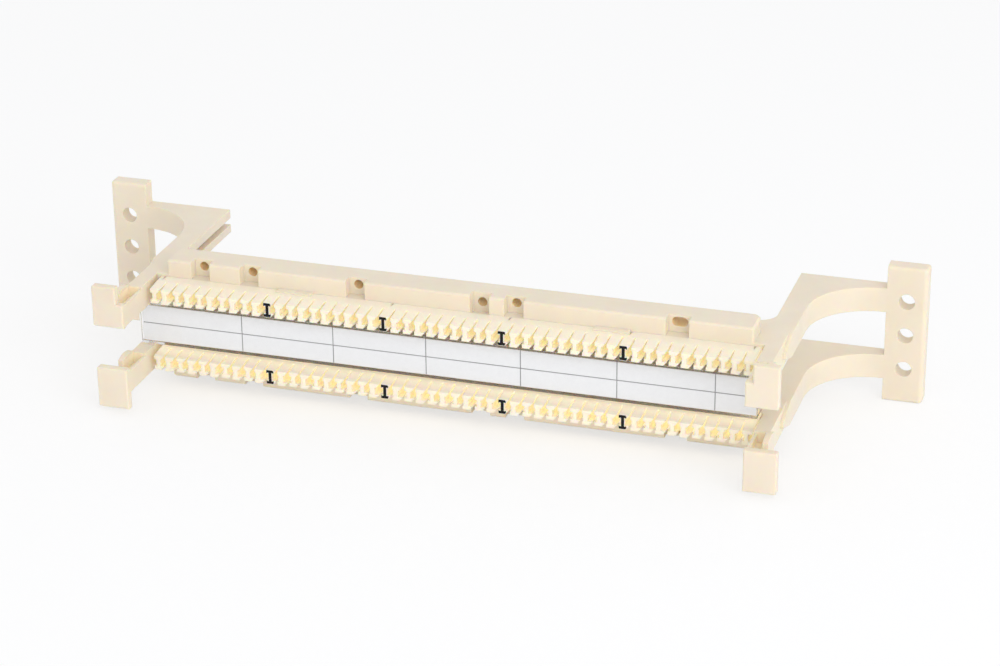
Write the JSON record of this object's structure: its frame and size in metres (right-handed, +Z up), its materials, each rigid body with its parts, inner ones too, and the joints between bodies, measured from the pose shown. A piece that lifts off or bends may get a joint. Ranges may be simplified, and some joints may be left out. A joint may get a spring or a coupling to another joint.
{
  "type": "punch down wiring block",
  "caption": "Cream moulded wiring block with two comb rows for punched-down wire pairs, a clear label holder between them and stand-off legs with wall screw holes.",
  "frame": {"origin": "middle of the wall plane on the backs of the feet, centred between the foot holes", "axes": "+X along the comb rows to the right as seen from the front, +Y back into the wall, +Z up"},
  "size_m": [0.2754, 0.0838, 0.0458],
  "materials": {
    "base": "satin moulded cream",
    "clear": "clear moulded",
    "paper": "white with thin grey lines"
  },
  "bodies": {
    "root": {"base": "base", "label_holder": "clear", "label": "paper"}
  },
  "joints": []
}
